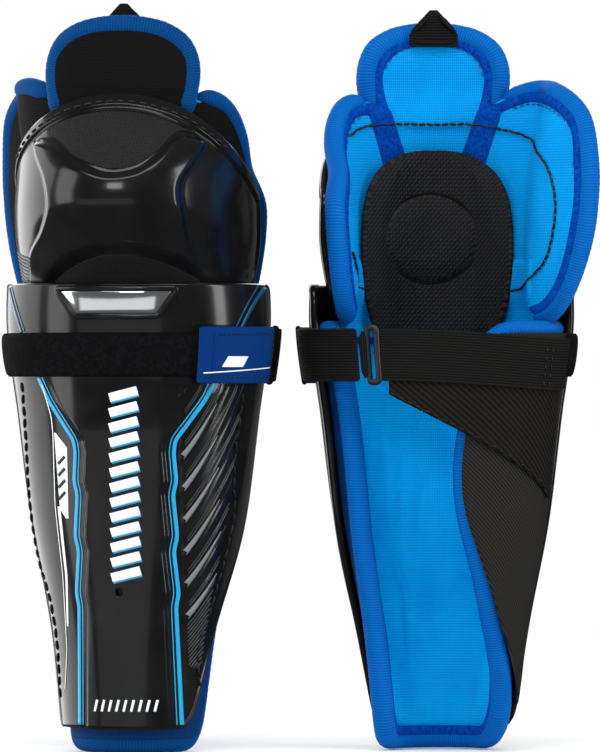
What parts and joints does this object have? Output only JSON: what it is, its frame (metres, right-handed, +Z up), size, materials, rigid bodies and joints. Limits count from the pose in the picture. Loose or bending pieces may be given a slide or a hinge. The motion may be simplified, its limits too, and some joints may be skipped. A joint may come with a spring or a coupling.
{
  "type": "hockey shin guards",
  "caption": "Pair of youth ice hockey shin guards: glossy hard shin shells and knee cups over blue knit foam liners, with side flaps, a top flap and an elastic calf strap.",
  "frame": {"origin": "centre of the pair's box on the surface that the guards stand on", "axes": "+Z up along the legs; guard 1 faces -Y and guard 2 faces +Y; +X from guard 1 to guard 2"},
  "size_m": [0.2907, 0.1654, 0.355],
  "materials": {
    "gloss_black": "moulded, high gloss",
    "chrome": "bright plated",
    "blue_knit": "brushed knit over foam",
    "blue_binding": "ribbed edge binding over foam",
    "black_fabric": "matte woven and loop fabric",
    "black_elastic": "woven elastic webbing",
    "foam": "open foam",
    "black_plastic": "satin moulded",
    "tab_fabric": "smooth woven"
  },
  "bodies": {
    "guard1_shin": {"guard1_badge_frame": "black_plastic", "guard1_badge_plate": "chrome", "guard1_calf_wrap": "black_fabric", "guard1_loop_strip": "black_fabric", "guard1_shin_binding": "blue_binding", "guard1_shin_liner": "blue_knit", "guard1_shin_shell": "gloss_black"},
    "guard1_band": {"guard1_calf_gusset": "black_elastic", "guard1_elastic_band": "black_elastic", "guard1_strap_ring": "black_plastic"},
    "guard1_hang_tab": {"guard1_hang_tab": "black_elastic"},
    "guard1_tab": {"guard1_hook_patch": "black_fabric", "guard1_pull_tab": "tab_fabric", "guard1_tab_strap": "black_elastic"},
    "guard1_knee": {"guard1_knee_cap": "gloss_black", "guard1_knee_centre_pad": "black_fabric", "guard1_knee_foam": "foam", "guard1_knee_liner": "blue_knit", "guard1_knee_mesh_pad": "black_fabric"},
    "guard1_lateral_wing": {"guard1_lateral_wing_binding": "blue_binding", "guard1_lateral_wing_pad": "blue_knit", "guard1_lateral_wing_panel": "black_fabric"},
    "guard1_medial_wing": {"guard1_medial_wing_binding": "blue_binding", "guard1_medial_wing_pad": "blue_knit", "guard1_medial_wing_panel": "black_fabric"},
    "guard1_thigh": {"guard1_thigh_binding": "blue_binding", "guard1_thigh_pad": "blue_knit", "guard1_thigh_panel": "black_fabric"},
    "guard2_shin": {"guard2_badge_frame": "black_plastic", "guard2_badge_plate": "chrome", "guard2_calf_wrap": "black_fabric", "guard2_loop_strip": "black_fabric", "guard2_shin_binding": "blue_binding", "guard2_shin_liner": "blue_knit", "guard2_shin_shell": "gloss_black"},
    "guard2_band": {"guard2_calf_gusset": "black_elastic", "guard2_elastic_band": "black_elastic", "guard2_strap_ring": "black_plastic"},
    "guard2_hang_tab": {"guard2_hang_tab": "black_elastic"},
    "guard2_tab": {"guard2_hook_patch": "black_fabric", "guard2_pull_tab": "tab_fabric", "guard2_tab_strap": "black_elastic"},
    "guard2_knee": {"guard2_knee_cap": "gloss_black", "guard2_knee_centre_pad": "black_fabric", "guard2_knee_foam": "foam", "guard2_knee_liner": "blue_knit", "guard2_knee_mesh_pad": "black_fabric"},
    "guard2_lateral_wing": {"guard2_lateral_wing_binding": "blue_binding", "guard2_lateral_wing_pad": "blue_knit", "guard2_lateral_wing_panel": "black_fabric"},
    "guard2_medial_wing": {"guard2_medial_wing_binding": "blue_binding", "guard2_medial_wing_pad": "blue_knit", "guard2_medial_wing_panel": "black_fabric"},
    "guard2_thigh": {"guard2_thigh_binding": "blue_binding", "guard2_thigh_pad": "blue_knit", "guard2_thigh_panel": "black_fabric"}
  },
  "joints": [
    {"name": "guard2_set_apart", "type": "slide", "parent": "guard1_shin", "child": "guard2_shin", "axis": [1, 0, 0], "range_m": [0, 0.2]},
    {"name": "guard1_knee_flex", "type": "hinge", "parent": "guard1_shin", "child": "guard1_knee", "pos_m": [-0.08164, -0.02462, 0.222], "axis": [-0.9848, 0.1736, 0], "range_deg": [-5, 10], "stiffness_Nm_per_rad": 3},
    {"name": "guard1_thigh_flex", "type": "hinge", "parent": "guard1_knee", "child": "guard1_thigh", "pos_m": [-0.08485, -0.04284, 0.316], "axis": [-0.9848, 0.1736, 0], "range_deg": [-25, 24], "stiffness_Nm_per_rad": 0.4},
    {"name": "guard1_hang_tab_flex", "type": "hinge", "parent": "guard1_thigh", "child": "guard1_hang_tab", "pos_m": [-0.0832, -0.03348, 0.338], "axis": [-0.9848, 0.1736, 0], "range_deg": [0, 75], "stiffness_Nm_per_rad": 0.01},
    {"name": "guard1_lateral_wing_flex", "type": "hinge", "parent": "guard1_knee", "child": "guard1_lateral_wing", "pos_m": [-0.13155, 0.01769, 0.26], "axis": [0, 0, 1], "range_deg": [-8, 25], "stiffness_Nm_per_rad": 0.4},
    {"name": "guard1_medial_wing_flex", "type": "hinge", "parent": "guard1_knee", "child": "guard1_medial_wing", "pos_m": [-0.02027, -0.00193, 0.26], "axis": [0, 0, -1], "range_deg": [-8, 25], "stiffness_Nm_per_rad": 0.4},
    {"name": "guard1_tab_open", "type": "hinge", "parent": "guard1_band", "child": "guard1_tab", "pos_m": [-0.03461, 0.02903, 0.189], "axis": [0, 0, 1], "range_deg": [0, 101]},
    {"name": "guard1_band_swing", "type": "hinge", "parent": "guard1_shin", "child": "guard1_band", "pos_m": [-0.12932, 0.02745, 0.189], "axis": [0, 0, 1], "range_deg": [0, 23]},
    {"name": "guard2_knee_flex", "type": "hinge", "parent": "guard2_shin", "child": "guard2_knee", "pos_m": [0.06552, 0.02491, 0.222], "axis": [0.9962, 0.0872, 0], "range_deg": [-5, 10], "stiffness_Nm_per_rad": 3},
    {"name": "guard2_thigh_flex", "type": "hinge", "parent": "guard2_knee", "child": "guard2_thigh", "pos_m": [0.06391, 0.04333, 0.316], "axis": [0.9962, 0.0872, 0], "range_deg": [-25, 24], "stiffness_Nm_per_rad": 0.4},
    {"name": "guard2_hang_tab_flex", "type": "hinge", "parent": "guard2_thigh", "child": "guard2_hang_tab", "pos_m": [0.06474, 0.03387, 0.338], "axis": [0.9962, 0.0872, 0], "range_deg": [0, 75], "stiffness_Nm_per_rad": 0.01},
    {"name": "guard2_lateral_wing_flex", "type": "hinge", "parent": "guard2_knee", "child": "guard2_lateral_wing", "pos_m": [0.12468, -0.00304, 0.26], "axis": [0, 0, 1], "range_deg": [-8, 25], "stiffness_Nm_per_rad": 0.4},
    {"name": "guard2_medial_wing_flex", "type": "hinge", "parent": "guard2_knee", "child": "guard2_medial_wing", "pos_m": [0.01211, -0.01289, 0.26], "axis": [0, 0, -1], "range_deg": [-8, 25], "stiffness_Nm_per_rad": 0.4},
    {"name": "guard2_tab_open", "type": "hinge", "parent": "guard2_band", "child": "guard2_tab", "pos_m": [0.03398, -0.03909, 0.189], "axis": [0, 0, 1], "range_deg": [0, 101]},
    {"name": "guard2_band_swing", "type": "hinge", "parent": "guard2_shin", "child": "guard2_band", "pos_m": [0.12506, -0.01305, 0.189], "axis": [0, 0, 1], "range_deg": [0, 23]}
  ],
  "couplings": [
    {"joint": "guard1_tab_open", "follows": "guard2_set_apart", "rad_per_m": 8.7266},
    {"joint": "guard1_band_swing", "follows": "guard2_set_apart", "rad_per_m": 1.9199},
    {"joint": "guard2_tab_open", "follows": "guard2_set_apart", "rad_per_m": 8.7266},
    {"joint": "guard2_band_swing", "follows": "guard2_set_apart", "rad_per_m": 1.9199}
  ]
}
